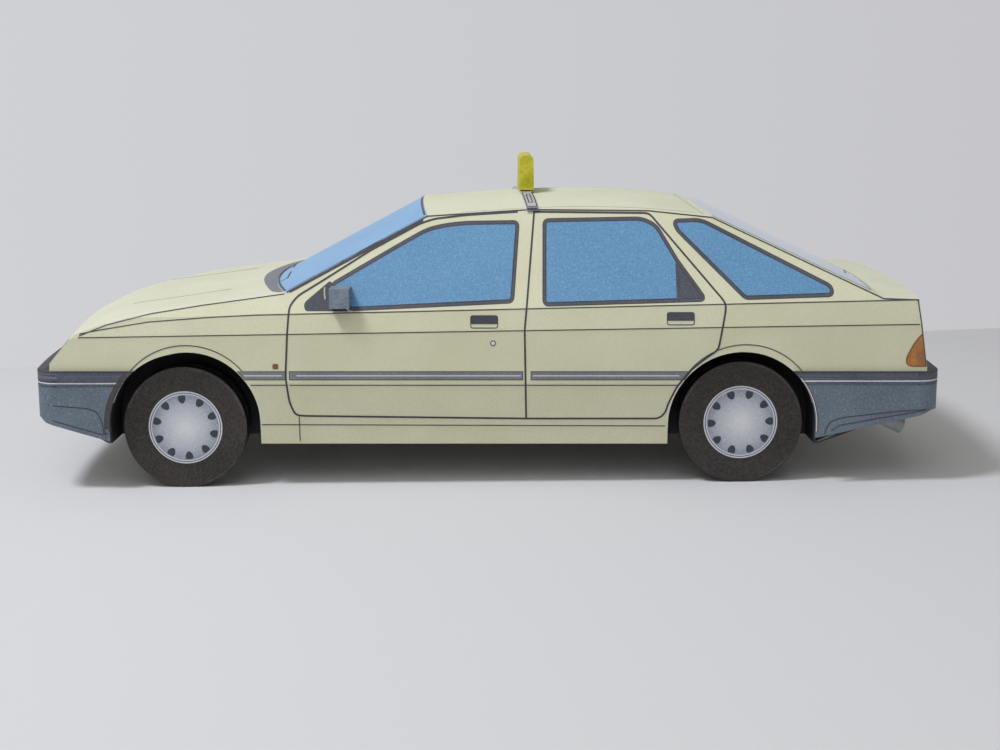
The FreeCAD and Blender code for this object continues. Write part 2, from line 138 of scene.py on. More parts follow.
def node(tree, kind, settings=None, values=None, links=None):
    """Adds a node with its settings, its sockets' values, and links into its sockets from (node, output)."""
    made = tree.nodes.new(kind)
    for key, value in (settings or {}).items():
        setattr(made, key, value)
    for key, value in (values or {}).items():
        made.inputs[key].default_value = value
    for key, (source, output) in (links or {}).items():
        tree.links.new(source.outputs[output], made.inputs[key])
    return made


def per_mm(size):
    """Scale that makes a noise's grain about this many mm across."""
    return 1 / (size * MM)


def blank(name, roughness, specular=0.3):
    """A new material with its shader and its place on the model."""
    material = bpy.data.materials.new(name)
    material.use_nodes = True
    tree = material.node_tree
    tree.nodes.clear()
    shader = node(tree, "ShaderNodeBsdfPrincipled",
                  values={"Roughness": roughness, "Specular IOR Level": specular, "IOR": 1.5})
    node(tree, "ShaderNodeOutputMaterial", links={"Surface": (shader, "BSDF")})
    place = node(tree, "ShaderNodeTexCoord")
    return material, tree, shader, place


def printed(name, dark, light, grain=0.2, grain_amount=0.5, roughness=0.62, broad=7.0,
            broad_amount=0.35, specular=0.3, edge=None, tint=None, pen=0, core="#e9e8e4"):
    """Card printed on a home printer: fine dots of ink and a slow drift of tone.

    Where edge gives the axis that the sheet faces, its cut edges show the core, and a pen has blackened those
    that face forwards, for pen 1, or rearwards, for pen -1."""
    material, tree, shader, place = blank(name, roughness, specular)
    dots = node(tree, "ShaderNodeTexNoise", values={"Scale": per_mm(grain), "Detail": 2.0, "Roughness": 0.6},
                links={"Vector": (place, "Object")})
    drift = node(tree, "ShaderNodeTexNoise",
                 values={"Scale": per_mm(broad), "Detail": 3.0, "Roughness": 0.55},
                 links={"Vector": (place, "Object")})
    dots_range = node(tree, "ShaderNodeMapRange",
                      values={"From Min": 0.3, "From Max": 0.7, "To Min": 0.5 - grain_amount / 2,
                              "To Max": 0.5 + grain_amount / 2}, links={"Value": (dots, "Fac")})
    drift_range = node(tree, "ShaderNodeMapRange",
                       values={"From Min": 0.35, "From Max": 0.65, "To Min": -broad_amount / 2,
                               "To Max": broad_amount / 2}, links={"Value": (drift, "Fac")})
    tone = node(tree, "ShaderNodeMath", {"operation": "ADD", "use_clamp": True},
                links={0: (dots_range, "Result"), 1: (drift_range, "Result")})
    ink = node(tree, "ShaderNodeValToRGB", links={"Fac": (tone, "Value")})
    ink.color_ramp.elements[0].color, ink.color_ramp.elements[1].color = linear(dark), linear(light)
    colour = (ink, "Color")
    if tint:  # specks of a second ink
        specks = node(tree, "ShaderNodeTexNoise", values={"Scale": per_mm(grain * 1.6), "Detail": 1.0},
                      links={"Vector": (place, "Object")})
        where = node(tree, "ShaderNodeMapRange", values={"From Min": 0.55, "From Max": 0.75, "To Max": 0.45},
                     links={"Value": (specks, "Fac")})
        mixed = node(tree, "ShaderNodeMix", {"data_type": "RGBA"}, values={"B": linear(tint)},
                     links={"Factor": (where, "Result"), "A": colour})
        colour = (mixed, "Result")
    if edge is not None:  # the core shows where the face is a cut edge
        shape = node(tree, "ShaderNodeNewGeometry")
        split = node(tree, "ShaderNodeSeparateXYZ", links={"Vector": (shape, "Normal")})
        ahead = node(tree, "ShaderNodeMapRange",
                     values={"From Min": 0.25 * pen or 2.0, "From Max": 0.4 * pen or 3.0},
                     links={"Value": (split, "X")})
        bare = node(tree, "ShaderNodeMix", {"data_type": "RGBA"},
                    values={"A": linear(core), "B": linear("#343236")}, links={"Factor": (ahead, "Result")})
        size = node(tree, "ShaderNodeMath", {"operation": "ABSOLUTE"}, links={0: (split, "XYZ"[edge])})
        flat = node(tree, "ShaderNodeMapRange", values={"From Min": 0.2, "From Max": 0.35},
                    links={"Value": (size, "Value")})
        cut = node(tree, "ShaderNodeMix", {"data_type": "RGBA"},
                   links={"Factor": (flat, "Result"), "A": (bare, "Result"), "B": colour})
        colour = (cut, "Result")
    tree.links.new(colour[0].outputs[colour[1]], shader.inputs["Base Color"])
    tooth = node(tree, "ShaderNodeTexNoise", values={"Scale": per_mm(0.3), "Detail": 3.0},
                 links={"Vector": (place, "Object")})
    bump = node(tree, "ShaderNodeBump", values={"Strength": 0.25, "Distance": 0.02 * MM},
                links={"Height": (tooth, "Fac")})
    tree.links.new(bump.outputs["Normal"], shader.inputs["Normal"])
    return material


# Ivory-printed matt card: yellowish off-white under a fine grain of dots, with a white core at each cut.
# The side and end copies are yellower than the top and bonnet copies: a painted difference of light between
# the faces.
IVORY_SHEETS = (("side", 1, 1, "#cfcdaa", "#dedcc1"), ("top", 2, 0, "#cfcfb2", "#dedec9"),
                ("bonnet", 2, -1, "#cfcfb2", "#dedec9"), ("end", 0, 0, "#cfcdaa", "#dedcc1"))
ivory = {}
for key, axis, pen, dark, light in IVORY_SHEETS:
    ivory[key] = printed("printed_ivory_card_" + key, dark, light, grain=0.16, edge=axis, pen=pen,
                         tint="#c9cf9f")
# Blue-printed card windows: a cold flat blue with visible dots of cyan and grey ink.
window_ink = printed("printed_blue_window_card", "#5082a9", "#6f9dc1", grain=0.16,
                     grain_amount=0.9, broad=9.0, broad_amount=0.15, roughness=0.5, tint="#83add0")
screen_ink = printed("printed_pale_blue_card", "#709fc8", "#88b3d6", grain_amount=0.6, broad=6.0,
                     broad_amount=0.3, roughness=0.4, specular=0.5, edge=2)
# Blue-grey-printed card bumpers: darker ink that shows paler where it has been rubbed.
bumper_ink = printed("printed_blue_grey_card", "#5b6772", "#727f8a", grain=0.22,
                     grain_amount=0.9, broad=5.0, broad_amount=0.5, tint="#88949b")
bumper_dark_ink = printed("printed_slate_card", "#4a4d58", "#62666f", grain_amount=0.9)
moulding_ink = printed("printed_grey_moulding", "#6f7378", "#888c90", grain=0.18,
                       grain_amount=0.9)
# Black-brown printer's ink: lines and frames, slightly broken by the paper's tooth.
line_ink = printed("printed_dark_line", "#39363c", "#524f55", grain=0.15, grain_amount=0.9)
frame_ink = printed("printed_slate_frame", "#44474f", "#5c5f68", grain_amount=0.8)
sail_ink = printed("printed_dark_sail", "#3d3f47", "#52545c", grain_amount=0.8)
cowl_ink = printed("printed_grey_cowl", "#6d6e73", "#85868a", grain=0.18, grain_amount=0.9)
pale_ink = printed("bare_white_line", "#cfced2", "#e2e1e6", grain=0.15, grain_amount=0.6)
lamp_ink = printed("printed_amber_lamp", "#926443", "#c38248", grain_amount=1.0, broad=1.5,
                   broad_amount=0.8)
lamp_rim_ink = printed("printed_brown_rim", "#6e5040", "#8b6246", grain=0.15)
red_ink = printed("printed_red_lamp", "#8f3b33", "#b5544a", grain_amount=0.9)
# Bare card: warm white, matt.
bare_card = printed("bare_white_card", "#dcdcd2", "#eceae2", grain=0.3, grain_amount=0.5,
                    roughness=0.75)
# Board under the car, unprinted: dull, with a coarse fibre; its grey and its dark cut edge are painted shade.
shade_grey_board = printed("shade_grey_board", "#b9b7b1", "#cbc9c3", grain=0.35, grain_amount=0.8, roughness=0.8, edge=2,
                     core="#3f3e3d")
# Matt black card of the wheel wells: soaks up nearly all light.
well_card = printed("matt_black_card", "#2a2a2d", "#3a3a3e", grain=0.3, roughness=0.8)
# Rolled exhaust paper, cool grey.
exhaust_paper = printed("rolled_grey_paper", "#8f9396", "#a9acae", grain_amount=0.8, roughness=0.55)
# Door mirrors: blue-grey printed card, mottled.
mirror_card = printed("printed_grey_mirror_card", "#6a7480", "#8b97a4", grain_amount=0.9, broad=1.2,
                      broad_amount=0.5)
# Silver-painted strap: a soft grey metal sheen over paper.
strap_paint = printed("silver_painted_paper", "#a1a5a9", "#c3c5c7", grain=0.3, grain_amount=0.8,
                      roughness=0.35, specular=0.5)
# Poster-painted sign: uneven olive yellow, thicker and thinner in strokes.
sign_paint = printed("painted_yellow_paper", "#aea71a", "#d2cc3e", grain=0.3, grain_amount=0.5, broad=1.4,
                     broad_amount=0.8, roughness=0.5, tint="#a3a02a")
# Paler yellow for the sign's top: a painted highlight.
sign_top_highlight_paint = printed("painted_highlight_yellow_paper", "#d5cf84", "#e6e2a6", grain=0.3,
                         grain_amount=0.5, broad=1.4, broad_amount=0.6, roughness=0.55)
# Laminated card rims, varnished black: shiny, with the layers' lines.
tread_varnish = printed("varnished_black_card_edge", "#100f0f", "#2b2827", grain=0.35,
                        grain_amount=1.0, roughness=0.28, specular=0.55)
# Printed wheel face: brownish black print with grey dust in it.
face_ink = printed("printed_black_wheel_face", "#2b2725", "#443f3b", grain_amount=1.0, roughness=0.6)
hub_dark_ink = printed("printed_hub_hole", "#33363b", "#4b4f55", grain=0.15)
hub_ring_ink = printed("printed_hub_ring", "#c3c6cb", "#dadde1", grain=0.15)
# Faint tan line: ink so thin that the paper's tooth breaks it.
tan_ink = printed("printed_faint_tan_line", "#a8a283", "#bdb898", grain=0.15)
# Painted highlight along the rim of the printed wheel, where its edge catches the light.
rim_highlight_ink = printed("rubbed_card_rim", "#524d49", "#77716b", grain_amount=1.0)
# Bumper card's folded-in edge: print worn to a warm grey.
fold_ink = printed("worn_grey_fold", "#423e3d", "#5a5553", grain_amount=0.9)
# Rear window's print: a pale blue under a gloss coat, with a painted reflection that makes its upper part
# paler.
pane_ink = printed("printed_glossy_pane", "#7ea6cc", "#97bbdb", grain_amount=0.6,
                   broad=6.0, broad_amount=0.3, roughness=0.32, specular=0.6)


def coated_with_painted_reflection(material, pale, blue_at, reflection_full_at):
    """Puts a gloss coat on a print, and paints a reflection paling it between two places, in mm ahead of the
    rear axle.
    """
    tree = material.node_tree
    shader = next(one for one in tree.nodes if one.type == "BSDF_PRINCIPLED")
    shader.inputs["Coat Weight"].default_value, shader.inputs["Coat Roughness"].default_value = 0.9, 0.12
    source = shader.inputs["Base Color"].links[0].from_socket
    place = node(tree, "ShaderNodeTexCoord")
    split = node(tree, "ShaderNodeSeparateXYZ", links={"Vector": (place, "Object")})
    where = node(tree, "ShaderNodeMapRange",
                 values={"From Min": rear_hub.x + blue_at * MM, "From Max": rear_hub.x + reflection_full_at * MM,
                         "To Max": 0.5}, links={"Value": (split, "X")})
    mixed = node(tree, "ShaderNodeMix", {"data_type": "RGBA"}, values={"B": linear(pale)},
                 links={"Factor": (where, "Result")})
    tree.links.new(source, mixed.inputs["A"])
    tree.links.new(mixed.outputs["Result"], shader.inputs["Base Color"])


# The rear window's upper part is paled by a painted reflection.
coated_with_painted_reflection(pane_ink, "#d6dce5", -12.0, -9.2)
# Bare birch stick of the axles: warm straw with darker streaks.
stick_wood = printed("bare_birch_stick", "#b9925c", "#d6b684", grain=0.4, broad=2.0, broad_amount=0.8,
                     roughness=0.7)


def hub_print():
    """Printed hubcap: pale in the middle, fading to blue-grey at its rim, with a fine grain."""
    material, tree, shader, place = blank("printed_silver_hubcap", 0.5, 0.35)
    centre = node(tree, "ShaderNodeVectorMath", {"operation": "SUBTRACT"}, values={1: (0.5, 0.5, 0)},
                  links={0: (place, "UV")})
    reach = node(tree, "ShaderNodeVectorMath", {"operation": "LENGTH"}, links={0: (centre, "Vector")})
    grain = node(tree, "ShaderNodeTexNoise", values={"Scale": per_mm(0.2), "Detail": 2.0},
                 links={"Vector": (place, "Object")})
    shift = node(tree, "ShaderNodeMapRange",
                 values={"From Min": 0.3, "From Max": 0.7, "To Min": -0.05, "To Max": 0.05},
                 links={"Value": (grain, "Fac")})
    level = node(tree, "ShaderNodeMath", {"operation": "ADD"},
                 links={0: (reach, "Value"), 1: (shift, "Result")})
    fade = node(tree, "ShaderNodeValToRGB", links={"Fac": (level, "Value")})
    inner, outer = fade.color_ramp.elements
    inner.color, inner.position = linear("#d6d8da"), 0.05
    outer.color, outer.position = linear("#8792a2"), 0.48
    middle = fade.color_ramp.elements.new(0.3)
    middle.color = linear("#b7bbc2")
    tree.links.new(fade.outputs["Color"], shader.inputs["Base Color"])
    return material


hubcap_ink = hub_print()

# ---- Modelling helpers
def only(*objects):
    """Leaves only these objects selected, the last of them active."""
    bpy.ops.object.select_all(action="DESELECT")
    for thing in objects:
        thing.select_set(True)
    bpy.context.view_layer.objects.active = objects[-1]


def active():
    """The object that the last step made."""
    return bpy.context.view_layer.objects.active


def edit(thing):
    only(thing)
    bpy.ops.object.mode_set(mode="EDIT")
    bpy.ops.mesh.select_mode(type="VERT")
    bpy.ops.mesh.select_all(action="SELECT")


def leave():
    bpy.ops.object.mode_set(mode="OBJECT")


def outwards(thing):
    """Turns a piece's faces outwards."""
    edit(thing)
    bpy.ops.mesh.normals_make_consistent(inside=False)
    leave()


def copied(thing, name):
    """Duplicates a piece, with its own mesh."""
    only(thing)
    bpy.ops.object.duplicate()
    copy = active()
    copy.name = copy.data.name = name
    return copy


def modify(thing, kind, **settings):
    """Adds a modifier and applies it."""
    only(thing)
    made = thing.modifiers.new(kind.lower(), kind)
    for key, value in settings.items():
        setattr(made, key, value)
    bpy.ops.object.modifier_apply(modifier=made.name)


def joined(name, things):
    """Joins pieces of one print into one piece."""
    only(*things)
    if len(things) > 1:
        bpy.ops.object.join()
    whole = active()
    whole.name = whole.data.name = name
    return whole


def finished(thing, body, material):
    """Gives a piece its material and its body."""
    thing.data.materials.clear()
    thing.data.materials.append(material)
    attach(thing, body)
    return thing


def right_twin(thing, name, body, material):
    """Gives the right side its own mirrored copy of a piece of the left side."""
    twin = copied(thing, name)
    twin.data.transform(Matrix.Scale(-1, 4, (0, 1, 0)))
    outwards(twin)
    return finished(twin, body, material)


def rounded(corners, radius=0.0, steps=4):
    """An outline with its corners turned to short curves; a corner's third number is its own radius."""
    out = []
    count = len(corners)
    for i, corner in enumerate(corners):
        here = Vector(corner[:2])
        own = corner[2] if len(corner) > 2 else radius
        before, after = Vector(corners[i - 1][:2]), Vector(corners[(i + 1) % count][:2])
        if own <= 0:
            out.append(tuple(here))
            continue
        first = here + (before - here).normalized() * min(own, (before - here).length * 0.48)
        last = here + (after - here).normalized() * min(own, (after - here).length * 0.48)
        for k in range(steps + 1):
            t = k / steps
            out.append(tuple(first * (1 - t) ** 2 + here * 2 * t * (1 - t) + last * t * t))
    return out


def softened(points, radius, steps=3):
    """An open line with its corners turned to short curves."""
    inner = rounded(points, radius, steps)[steps + 1:-steps - 1]
    return [points[0][:2]] + inner + [points[-1][:2]]


def stroke(points, width, closed=False, out=0.0):
    """Outlines of a pen line of that width; a closed one may lie that far outside its outline."""
    points = [Vector(p[:2]) for p in points]
    if closed:
        turn = sum(a.x * b.y - b.x * a.y for a, b in zip(points, points[1:] + points[:1]))
        out = -out if turn > 0 else out
    count = len(points)
    sides = ([], [])
    for i, here in enumerate(points):
        before = points[i - 1] if i or closed else None
        after = points[(i + 1) % count] if i < count - 1 or closed else None
        run_in = (here - before).normalized() if before is not None else None
        run_out = (after - here).normalized() if after is not None else None
        run_in = run_in or run_out
        run_out = run_out or run_in
        across_in, across_out = Vector((-run_in.y, run_in.x)), Vector((-run_out.y, run_out.x))
        across = (across_in + across_out).normalized()
        reach = width / 2 / max(0.5, across.dot(across_in))
        move = across * out / max(0.5, across.dot(across_in))
        sides[0].append(tuple(here + move + across * reach))
        sides[1].append(tuple(here + move - across * reach))
    if closed:
        return [sides[0], sides[1]]
    return [sides[0] + sides[1][::-1]]


def circle(x, y, radius, count=24):
    return [(x + radius * cos(2 * pi * k / count), y + radius * sin(2 * pi * k / count))
            for k in range(count)]


def flat_shape(outlines):
    """A flat mesh, in mm, from closed outlines; an outline inside another is a hole."""
    curve = bpy.data.curves.new("outline", "CURVE")
    curve.dimensions, curve.fill_mode = "2D", "BOTH"
    for outline in outlines:
        spline = curve.splines.new("POLY")
        spline.points.add(len(outline) - 1)
        for point, (x, y) in zip(spline.points, outline):
            point.co = (x, y, 0, 1)
        spline.use_cyclic_u = True
    thing = bpy.data.objects.new("outline", curve)
    bpy.context.scene.collection.objects.link(thing)
    only(thing)
    bpy.ops.object.convert(target="MESH")
    thing = active()
    if sum(face.normal.z * face.area for face in thing.data.polygons) < 0:
        edit(thing)
        bpy.ops.mesh.flip_normals()
        leave()
    return thing


DOUBLES = 0.0005  # mm; corners of a drawing nearer than this are one


def divide(thing, step, folds):
    """Cuts a flat shape along the sheet's folds and, where the sheet is curved, every step."""
    edit(thing)
    for (x, y), (nx, ny) in folds:
        bpy.ops.mesh.select_all(action="SELECT")
        bpy.ops.mesh.bisect(plane_co=(x, y, 0), plane_no=(nx, ny, 0))
    if step:
        for axis in (0, 1):
            values = [v.co[axis] for v in thing.data.vertices]
            low, high = min(values), max(values)
            count = int((high - low) / step)
            for k in range(1, count + 1):
                at = [0, 0, 0]
                normal = [0, 0, 0]
                at[axis], normal[axis] = low + k * (high - low) / (count + 1), 1
                bpy.ops.mesh.select_all(action="SELECT")
                bpy.ops.mesh.bisect(plane_co=at, plane_no=normal)
    bpy.ops.mesh.select_all(action="SELECT")
    bpy.ops.mesh.remove_doubles(threshold=DOUBLES)
    leave()


CLEAR = 0.004 * MM  # a print's underside stands this far off its sheet
UNMOVED = 0.001 * MM  # a corner that moved less has met no sheet
NEAR_SIDE = 8 * MM  # a side print that lands nearer the middle has missed it


def lay(thing, sheets, plane, thick):
    """Stands a flat shape up beside the body, presses it on a sheet and gives it its thickness."""
    thing.matrix_world = TIPPED @ Matrix.Translation(START[plane]) @ AXES[plane]
    only(thing)
    bpy.ops.object.transform_apply(location=False, rotation=False, scale=True)
    forward = plane == "side"  # the drawing's own z points at the body, or away from it
    held = [v.co.copy() for v in thing.data.vertices]
    for sheet in sheets:
        modify(thing, "SHRINKWRAP", target=frame["nodes"][sheet], wrap_method="PROJECT", use_project_x=False,
               use_project_y=False, use_project_z=True, use_negative_direction=not forward,
               use_positive_direction=forward, wrap_mode="ABOVE_SURFACE", offset=CLEAR)
    missed = [i for i, (v, was) in enumerate(zip(thing.data.vertices, held))
              if (v.co - was).length < UNMOVED or (forward and (thing.matrix_world @ v.co).y < NEAR_SIDE)]
    if missed:  # past the sheet's edge, so the print is cut off there
        edit(thing)
        bpy.ops.mesh.select_all(action="DESELECT")
        leave()
        for i in missed:
            thing.data.vertices[i].select = True
        bpy.ops.object.mode_set(mode="EDIT")
        bpy.ops.mesh.delete(type="VERT")
        leave()
    only(thing)
    bpy.ops.object.transform_apply(location=True, rotation=True, scale=True)
    modify(thing, "SOLIDIFY", thickness=thick * MM, offset=-1 if forward else 1, use_even_offset=False)
    outwards(thing)
    return thing


def drawn(name, shapes, material, thick, sheets="left_side", plane=None, step=None, both=True, folds=()):
    """A printed area of one ink: each shape is laid on the sheet, then all are joined.

    A side print also gets its twin on the right, unless both is False."""
    sheets = (sheets,) if isinstance(sheets, str) else sheets
    plane = plane or LAID[sheets[0]][0]
    step = LAID[sheets[0]][1] if step is None else step
    both = both and plane == "side"
    made = []
    for outlines in shapes:
        flat = flat_shape(outlines)
        divide(flat, step, SIDE_FOLDS if plane == "side" else folds)
        made.append(lay(flat, sheets, plane, thick))
    whole = finished(joined(("left_" if both else "") + name, made), "shell", material)
    if both:
        right_twin(whole, "right_" + name, "shell", material)
    return whole


def dress(material, *names):
    """A CAD node whose shape is right keeps its mesh and takes this material."""
    for name in names:
        thing = frame["nodes"][name]
        if not thing.material_slots:
            thing.data.materials.append(material)
        for one in thing.material_slots:
            one.link, one.material = "OBJECT", material


# ---- Card sheets from the frame
dress(ivory["side"], "left_side", "right_side")
dress(ivory["bonnet"], "bonnet")
dress(ivory["top"], "roof", "rear_window", "boot_lid")
dress(ivory["end"], "nose_panel", "tail_panel")
dress(screen_ink, "windscreen")
dress(bumper_ink, "front_bumper", "rear_bumper")
dress(bare_card, "front_axle_tube", "rear_axle_tube")
dress(shade_grey_board, "floor_pan")
dress(well_card, "front_left_well", "front_right_well", "rear_left_well", "rear_right_well")
dress(exhaust_paper, "exhaust_pipe")
dress(mirror_card, "left_mirror", "right_mirror")
dress(strap_paint, "roof_bar")
dress(sign_paint, "roof_sign")
dress(stick_wood, "front_axle", "rear_axle")
for end in ("front", "rear"):
    for side in ("left", "right"):
        dress(face_ink, f"{end}_{side}_wheel_face")
        dress(tread_varnish, f"{end}_{side}_tyre")

# ---- Side print
THIN, SHUT, FRAME_BAND = 0.1, 0.2, 0.38  # mm, pen widths
LAP = 0.03  # mm that a window's frame covers of its glass

front_glass = rounded([(44.2, 21.6, 0.3), (36.9, 25.7, 2.0), (34.1, 27.2, 1.0), (32.0, 27.65, 1.0),
                       (29.9, 27.85, 0.8), (24.5, 27.93, 0.3), (25.1, 20.2, 0.3), (42.2, 19.4, 0.3)])
rear_glass = rounded([(21.2, 28.13, 0.3), (10.7, 28.33, 0.8), (9.3, 27.63, 0.6), (7.2, 24.1),
                      (4.5, 20.4, 0.3), (21.3, 19.9, 0.3)])
quarter_glass = rounded([(7.0, 28.1, 0.3), (4.3, 28.2, 0.8), (-9.2, 21.5, 0.4), (-9.3, 20.9, 0.3),
                         (-0.2, 20.6, 0.3), (6.7, 27.4, 0.3)])
glasses = (front_glass, rear_glass, quarter_glass)
drawn("window_glass", [[g] for g in glasses], window_ink, 0.015)
drawn("window_frames", [stroke(g, FRAME_BAND, True, FRAME_BAND / 2 - LAP) for g in glasses], frame_ink, 0.02)
drawn("window_inner_lines", [stroke(g, 0.13, True, 0.02) for g in glasses], line_ink, 0.026)
drawn("window_outer_lines", [stroke(g, 0.08, True, FRAME_BAND - LAP) for g in glasses], line_ink, 0.026)
drawn("mirror_sails", [[rounded([(47.4, 19.8, 0.5), (47.2, 19.0, 0.3), (42.6, 19.0, 0.1),
                                 (44.6, 22.1, 0.3)])]], sail_ink, 0.022)
drawn("sail_highlights", [stroke([(45.2, 21.4), (45.2, 20.9), (45.1, 20.2)], 0.16)], tan_ink, 0.034)
drawn("rear_window_dividers", [stroke([(7.1, 23.9), (7.1, 20.4)], 0.3),
                               [[(7.0, 23.8), (7.0, 20.4), (4.5, 20.4)]]], frame_ink, 0.024)

front_door = softened([(24.3, 29.2), (29.9, 28.85), (33.4, 28.45), (34.9, 28.0), (40.3, 25.2), (45.4, 22.1),
                       (48.1, 20.5), (48.9, 19.5), (49.1, 16.9), (49.4, 12.0), (49.1, 9.1), (48.5, 7.6),
                       (47.5, 7.5), (23.4, 7.2)], 0.5)
rear_door = softened([(22.6, 29.2), (9.9, 29.08), (2.1, 20.0), (2.0, 19.3), (2.75, 14.9), (4.3, 13.8),
                      (5.85, 12.5), (7.15, 10.8), (8.05, 8.8), (8.25, 7.9), (8.95, 7.2), (23.4, 7.2)], 0.5)
pillar = [(22.5, 29.2), (23.6, 17.0), (23.4, 7.2)]
drawn("shut_lines", [stroke(line, SHUT) for line in (front_door, rear_door, pillar)], line_ink, 0.03)

line_one = [(71.45, 16.6), (69.2, 17.03), (64.0, 17.87), (57.2, 18.38), (52.6, 18.6), (48.3, belt(48.3)),
            (-18.7, belt(-18.7))]
line_two = [(71.6, 16.2), (-18.8, waist(-18.8))]
side_lines = [line_one, line_two, [(53.2, 11.0), (49.3, 11.0)], [(49.0, 11.0), (7.0, 11.0)],
              [(52.2, 6.5), (8.25, 6.35)], [(48.1, 7.4), (48.1, 4.6)]]
drawn("body_lines", [stroke(line, THIN) for line in side_lines], line_ink, 0.027)


def arc(x, h, radius, first, last, steps=24):
    """Points on an arc, between two angles in degrees."""
    angles = [radians(first + (last - first) * k / steps) for k in range(steps + 1)]
    return [(x + radius * cos(a), h + radius * sin(a)) for a in angles]


arch_lips = [arc(60.1, 7.43, 7.92, 40.5, 139.5), arc(-0.25, 7.6, 7.85, 39, 140.5)]
drawn("arch_lips", [stroke(line, THIN) for line in arch_lips], line_ink, 0.028)

# Door handles: the dark grip starts a little above the handle's foot.
HANDLE_WIDE, HANDLE_HIGH, GRIP_FOOT = 2.9, 1.3, 0.42
for name, x0, y0 in (("front_handles", 26.5, 17.25), ("rear_handles", 5.4, 17.6)):
    x1, y1, grip = x0 + HANDLE_WIDE, y0 + HANDLE_HIGH, y0 + GRIP_FOOT
    drawn(name, [[rounded([(x0, grip), (x1, grip), (x1, y1, 0.25), (x0, y1, 0.25)])]], sail_ink, 0.03)
    drawn(name + "_rims", [stroke(rounded([(x0, y0), (x1, y0), (x1, y1), (x0, y1)], 0.25), 0.09, True)],
          line_ink, 0.034)
LOCK = (27.0, 15.6)  # middle of the front door's lock
drawn("door_locks", [stroke(circle(*LOCK, 0.26), 0.09, True)], line_ink, 0.03)
drawn("lock_faces", [[circle(*LOCK, 0.22)]], pale_ink, 0.024)
drawn("side_repeaters", [[rounded([(50.15, 12.77), (50.78, 12.77), (50.78, 13.33), (50.15, 13.33)], 0.16)]],
      lamp_rim_ink, 0.03)

mouldings = [[(53.8, 11.6), (54.55, 12.5), (49.3, 12.5), (49.3, 11.6)],
             [(48.98, 11.6), (48.98, 12.5), (23.8, 12.5), (23.8, 11.6)],
             [(22.9, 11.6), (22.9, 12.5), (5.65, 12.5), (6.35, 11.6)]]
drawn("mouldings", [[m] for m in mouldings], moulding_ink, 0.024)
drawn("moulding_rims", [stroke(m, 0.08, True) for m in mouldings], line_ink, 0.028)
highlights = [[(x0, 12.05), (x1, 12.05)] for x0, x1 in ((53.9, 49.8), (48.2, 24.0), (22.7, 6.9))]
drawn("moulding_highlights", [stroke(line, 0.11) for line in highlights], pale_ink, 0.032)

side_lamp = rounded([(-19.2, 16.6), (-19.0, 16.5, 0.2), (-18.3, 15.6, 0.5), (-17.5, 14.0, 0.6),
                     (-17.6, 13.3, 0.4), (-18.1, 13.1, 0.3), (-19.68, 13.1)])
drawn("side_lamps", [[side_lamp]], lamp_ink, 0.024)
drawn("side_lamp_rims", [stroke(side_lamp[1:], 0.13)], lamp_rim_ink, 0.028)

# Dark lines just under the cut edge of the side sheet, from the nose over bonnet and roof to the tail.
drawn("pillar_edge_lines", [stroke([(49.0, 20.93), (34.7, 28.36)], 0.28)], line_ink, 0.03)
top_edge = [(49.3, 20.94), (34.2, 28.8), (23.0, 29.5), (10.0, 29.4), (3.0, 28.7), (-14.9, 20.45),
            (-18.6, 20.33)]
bonnet_edge = [(71.5, 16.5), (68.6, 17.65), (64.0, 18.8), (58.2, 19.7), (53.6, 20.3), (49.5, 20.85)]
edge_lines = [(top_edge, 0.08, 0.13), (bonnet_edge, 0.12, THIN)]  # edge, how far under it, pen width
drawn("top_edge_lines", [stroke([(a, h - down) for a, h in line], wide) for line, down, wide in edge_lines],
      line_ink, 0.024)
drawn("tail_edge_lines", [stroke([(-18.6, 20.2), (-19.17, 16.5), (-19.69, 13.1)], 0.11)], line_ink, 0.026)

# Bare card core along the cut arches of the side sheets.
drawn("arch_cores", [stroke(arc(60.0, 6.95, 7.70, 158, 180), 0.06),
                     stroke(arc(*REAR_ARCH, 8.0, 0, 55), 0.06)], bare_card, 0.022)

# ---- Bonnet, screen, roof and rear window print
def mirrored(points):
    """A line or outline of the left half, as a whole from left to right."""
    return list(points) + [(x, -y) for x, y in points[::-1] if abs(y) > 0.01]


COWL_EDGE, COWL_HALF, COWL_BOW = 49.5, 18.28, 2.7  # where the bonnet meets the screen


def cowl_edge(y):
    """How far ahead of the rear axle the bonnet's rear edge is."""
    reach = (COWL_HALF ** 2 + COWL_BOW ** 2) / (2 * COWL_BOW)
    return COWL_EDGE + COWL_BOW - (reach - (reach ** 2 - y ** 2) ** 0.5)


across_cowl = [17.4, 16, 14, 12, 10, 8, 6, 4, 2, 0, -2, -4, -6, -8, -10, -12, -14, -16, -17.4]
# The cowl's front edge is a bow that is pinched in at its ends.
COWL_FRONT, BOW_SHARE, BOW_POWER, END_POWER = 54.0, 0.0225, 1.74, 1.8
cowl_front = [(COWL_FRONT - BOW_SHARE * abs(y) ** (BOW_POWER if abs(y) < 17 else END_POWER), y)
              for y in across_cowl]
drawn("cowl_print", [[cowl_front + [(cowl_edge(y) + 0.03, y) for y in across_cowl[::-1]]]], cowl_ink, 0.02,
      "bonnet")
drawn("bonnet_creases",
      [stroke([(67.6, s * 10.9), (62.4, s * 10.5), (56.6, s * 10.2)], THIN) for s in (1, -1)], cowl_ink, 0.02,
      "bonnet")
drawn("roof_hatch_line", [stroke(mirrored([(3.9, 13.4), (4.9, 8.1), (5.6, 0.0)]), 0.12)], tan_ink, 0.02,
      "roof")
drawn("roof_edge_lines",
      [stroke([(30.6, s * 13.3), (23.0, s * 13.0), (10.0, s * 13.0), (4.6, s * 13.2)], 0.1) for s in (1, -1)],
      tan_ink, 0.02, "roof")

